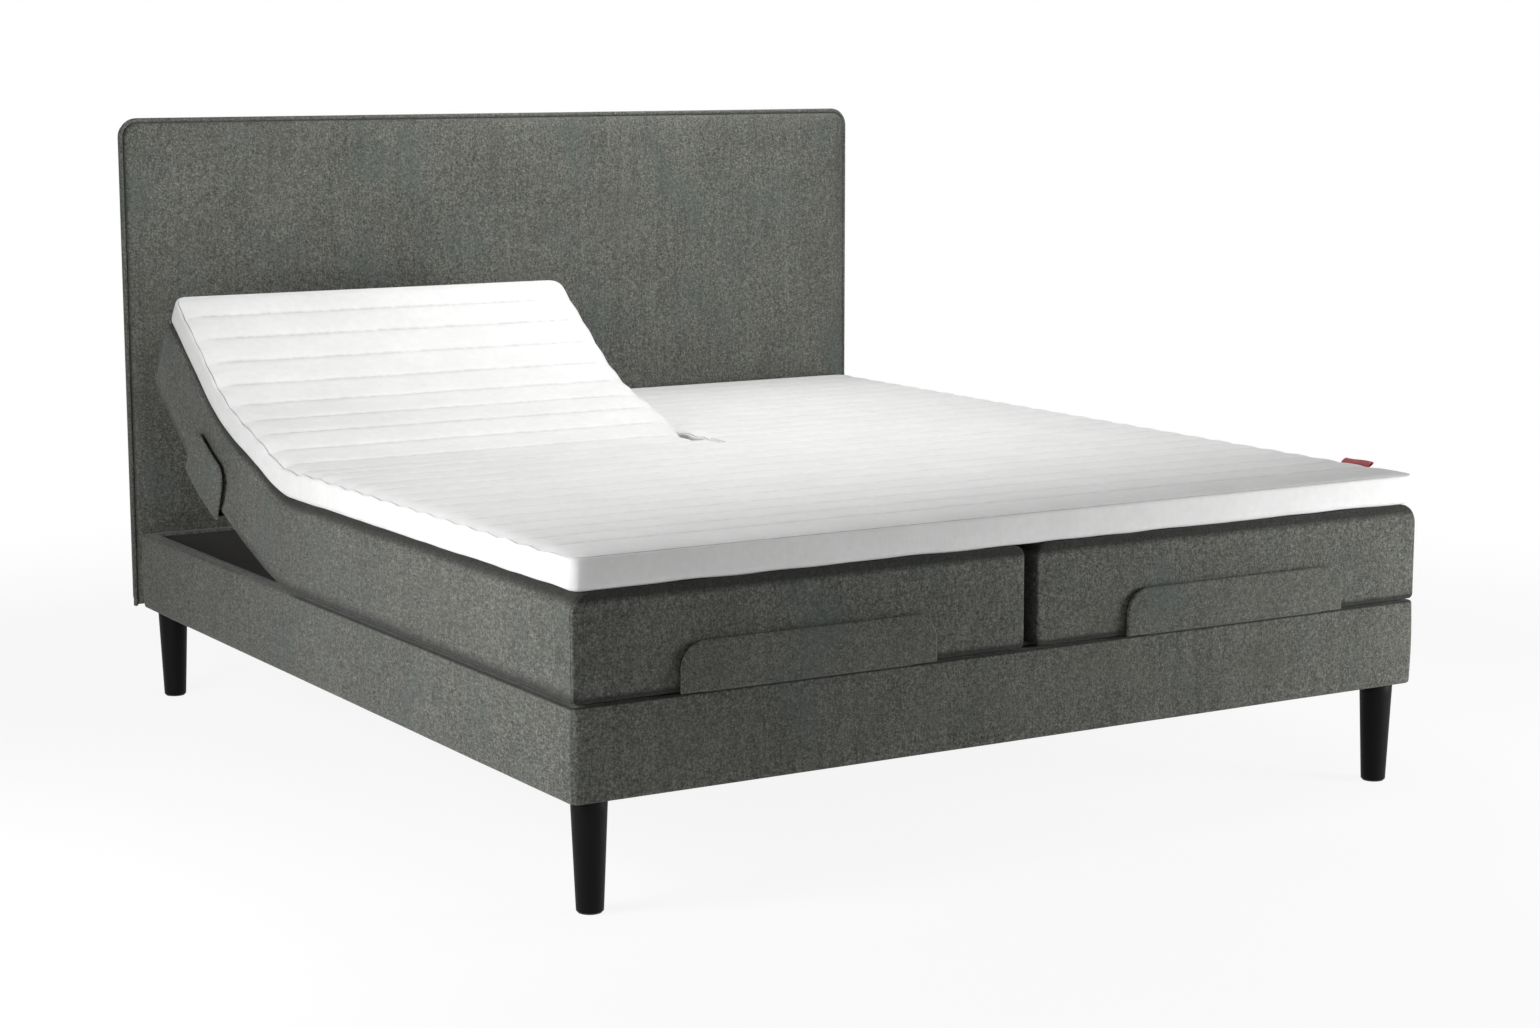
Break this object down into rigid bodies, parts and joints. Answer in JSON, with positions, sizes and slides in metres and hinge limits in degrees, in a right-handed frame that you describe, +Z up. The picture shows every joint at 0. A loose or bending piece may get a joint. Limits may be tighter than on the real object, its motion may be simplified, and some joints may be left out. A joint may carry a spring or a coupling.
{
  "type": "adjustable bed",
  "caption": "Upholstered adjustable double bed on tapered legs with a headboard, two powered lying units whose head, neck and leg sections lift, and a split white topper.",
  "frame": {"origin": "on the floor, under the middle of the bed's outer box", "axes": "+Z up, +Y from the foot towards the headboard, +X to the right as seen from the foot"},
  "size_m": [1.824, 2.0724, 1.237],
  "materials": {
    "upholstery": "woven melange upholstery cloth",
    "topper_cloth": "white knitted topper cover",
    "tag_cloth": "plain red woven tag",
    "frame_wood": "sawn softwood",
    "deck_board": "black film-faced plywood",
    "leg_lacquer": "black satin lacquer",
    "dark_steel": "black powder coat",
    "drive_plastic": "moulded housing",
    "glide_plastic": "moulded glide",
    "bolt_steel": "zinc plated"
  },
  "bodies": {
    "base": {"side_rail_left": "frame_wood", "side_rail_right": "frame_wood", "foot_rail": "frame_wood", "head_rail": "frame_wood", "rail_cover_left": "upholstery", "rail_cover_right": "upholstery", "rail_cover_foot": "upholstery", "rail_cover_head": "upholstery", "support_cleats": "frame_wood", "centre_beam": "frame_wood", "centre_leg": "leg_lacquer", "corner_blocks": "frame_wood", "leg_front_left": "leg_lacquer", "leg_front_right": "leg_lacquer", "leg_rear_left": "leg_lacquer", "leg_rear_right": "leg_lacquer", "leg_glides": "glide_plastic", "headboard_pad": "upholstery", "headboard_panel": "frame_wood", "headboard_border": "upholstery", "headboard_piping": "upholstery", "headboard_bolts": "bolt_steel", "control_box": "drive_plastic", "topper_foot": "topper_cloth", "fabric_tag": "tag_cloth", "mattress_seat_folds": "upholstery", "seat_tray_left": "dark_steel", "drive_unit_left": "drive_plastic", "mattress_seat_left": "upholstery", "seat_tray_right": "dark_steel", "drive_unit_right": "drive_plastic", "mattress_seat_right": "upholstery"},
    "back_left": {"back_panel_left": "deck_board", "mattress_back_left": "upholstery", "mattress_neck_fold_left": "upholstery", "side_retainer_left": "upholstery", "topper_head_left": "topper_cloth"},
    "neck_left": {"neck_panel_left": "deck_board", "mattress_neck_left": "upholstery"},
    "thigh_left": {"thigh_panel_left": "deck_board", "mattress_thigh_left": "upholstery"},
    "calf_left": {"calf_panel_left": "deck_board", "mattress_calf_left": "upholstery", "foot_retainer_left": "upholstery"},
    "back_lift_left": {"back_lift_left": "dark_steel"},
    "leg_lift_left": {"leg_lift_left": "dark_steel"},
    "back_right": {"back_panel_right": "deck_board", "mattress_back_right": "upholstery", "mattress_neck_fold_right": "upholstery", "side_retainer_right": "upholstery", "topper_head_right": "topper_cloth"},
    "neck_right": {"neck_panel_right": "deck_board", "mattress_neck_right": "upholstery"},
    "thigh_right": {"thigh_panel_right": "deck_board", "mattress_thigh_right": "upholstery"},
    "calf_right": {"calf_panel_right": "deck_board", "mattress_calf_right": "upholstery", "foot_retainer_right": "upholstery"},
    "back_lift_right": {"back_lift_right": "dark_steel"},
    "leg_lift_right": {"leg_lift_right": "dark_steel"}
  },
  "joints": [
    {"name": "left_back_hinge", "type": "hinge", "parent": "base", "child": "back_left", "pos_m": [0, 0.21625, 0.335], "axis": [1, 0, 0], "range_deg": [-18, 42], "deforming": ["topper_head_left", "mattress_seat_folds"]},
    {"name": "left_neck_hinge", "type": "hinge", "parent": "back_left", "child": "neck_left", "pos_m": [0, 0.59192, 0.45706], "axis": [1, 0, 0], "range_deg": [-17, 23], "deforming": ["mattress_neck_fold_left"]},
    {"name": "left_thigh_hinge", "type": "hinge", "parent": "base", "child": "thigh_left", "pos_m": [0, -0.03875, 0.335], "axis": [-1, 0, 0], "range_deg": [0, 30], "deforming": ["topper_foot"]},
    {"name": "left_knee_hinge", "type": "hinge", "parent": "thigh_left", "child": "calf_left", "pos_m": [0, -0.38875, 0.335], "axis": [-1, 0, 0], "range_deg": [-45.5, 0]},
    {"name": "left_back_lift_turn", "type": "hinge", "parent": "base", "child": "back_lift_left", "pos_m": [0, 0.38625, 0.27], "axis": [1, 0, 0], "range_deg": [-36.77, 85.73]},
    {"name": "left_leg_lift_turn", "type": "hinge", "parent": "base", "child": "leg_lift_left", "pos_m": [0, -0.18875, 0.27], "axis": [-1, 0, 0], "range_deg": [0, 61.85]},
    {"name": "right_back_hinge", "type": "hinge", "parent": "base", "child": "back_right", "pos_m": [0, 0.21625, 0.335], "axis": [1, 0, 0], "range_deg": [0, 60], "deforming": ["topper_head_right"]},
    {"name": "right_neck_hinge", "type": "hinge", "parent": "back_right", "child": "neck_right", "pos_m": [0, 0.61125, 0.335], "axis": [1, 0, 0], "range_deg": [0, 40], "deforming": ["mattress_neck_fold_right"]},
    {"name": "right_thigh_hinge", "type": "hinge", "parent": "base", "child": "thigh_right", "pos_m": [0, -0.03875, 0.335], "axis": [-1, 0, 0], "range_deg": [0, 30]},
    {"name": "right_knee_hinge", "type": "hinge", "parent": "thigh_right", "child": "calf_right", "pos_m": [0, -0.38875, 0.335], "axis": [-1, 0, 0], "range_deg": [-45.5, 0]},
    {"name": "right_back_lift_turn", "type": "hinge", "parent": "base", "child": "back_lift_right", "pos_m": [0, 0.38625, 0.27], "axis": [1, 0, 0], "range_deg": [-0.05, 122.45]},
    {"name": "right_leg_lift_turn", "type": "hinge", "parent": "base", "child": "leg_lift_right", "pos_m": [0, -0.18875, 0.27], "axis": [-1, 0, 0], "range_deg": [0, 61.85]}
  ],
  "couplings": [
    {"joint": "left_back_lift_turn", "follows": "left_back_hinge", "ratio": 2.04},
    {"joint": "left_leg_lift_turn", "follows": "left_thigh_hinge", "ratio": 2.06},
    {"joint": "left_knee_hinge", "follows": "left_thigh_hinge", "ratio": -1.515},
    {"joint": "right_back_lift_turn", "follows": "right_back_hinge", "ratio": 2.04},
    {"joint": "right_leg_lift_turn", "follows": "left_thigh_hinge", "ratio": 2.06},
    {"joint": "right_knee_hinge", "follows": "left_thigh_hinge", "ratio": -1.515},
    {"joint": "right_thigh_hinge", "follows": "left_thigh_hinge", "ratio": 1}
  ]
}
